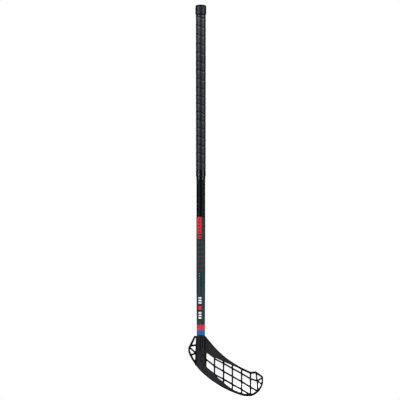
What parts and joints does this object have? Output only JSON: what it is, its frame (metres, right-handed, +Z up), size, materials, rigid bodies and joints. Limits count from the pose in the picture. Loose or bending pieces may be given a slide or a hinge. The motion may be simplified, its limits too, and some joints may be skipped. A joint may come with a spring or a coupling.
{
  "type": "floorball stick",
  "caption": "Straight tubular floorball stick with a wound grip, a rubber end cap, a printed lower shaft and a hooked open-lattice blade for striking a light ball.",
  "frame": {"origin": "middle of the end cap's flat top, on the shaft's axis", "axes": "+Z up along the shaft, away from the blade; +X towards the blade's toe; -Y is the front, to which the blade is hooked"},
  "size_m": [0.2121, 0.031, 1.1101],
  "materials": {
    "shaft_lacquer": "black lacquer on a composite tube",
    "cap_rubber": "smooth black rubber",
    "grip_wrap": "tacky foamed wrap, dark grey",
    "tape_black": "black vinyl tape",
    "film_print": null,
    "ring_red": "red film",
    "ring_blue": "blue film",
    "blade_plastic": "moulded black polyethylene",
    "hot_melt": "set hot-melt glue",
    "screw_steel": "blackened steel"
  },
  "bodies": {
    "root": {"shaft_tube": "shaft_lacquer", "end_cap": "cap_rubber", "grip_strip": "grip_wrap", "finishing_tape": "tape_black", "printed_film": "film_print", "red_ring": "ring_red", "blue_ring": "ring_blue", "blade": "blade_plastic", "socket_bond": "hot_melt", "blade_screw": "screw_steel"}
  },
  "joints": []
}
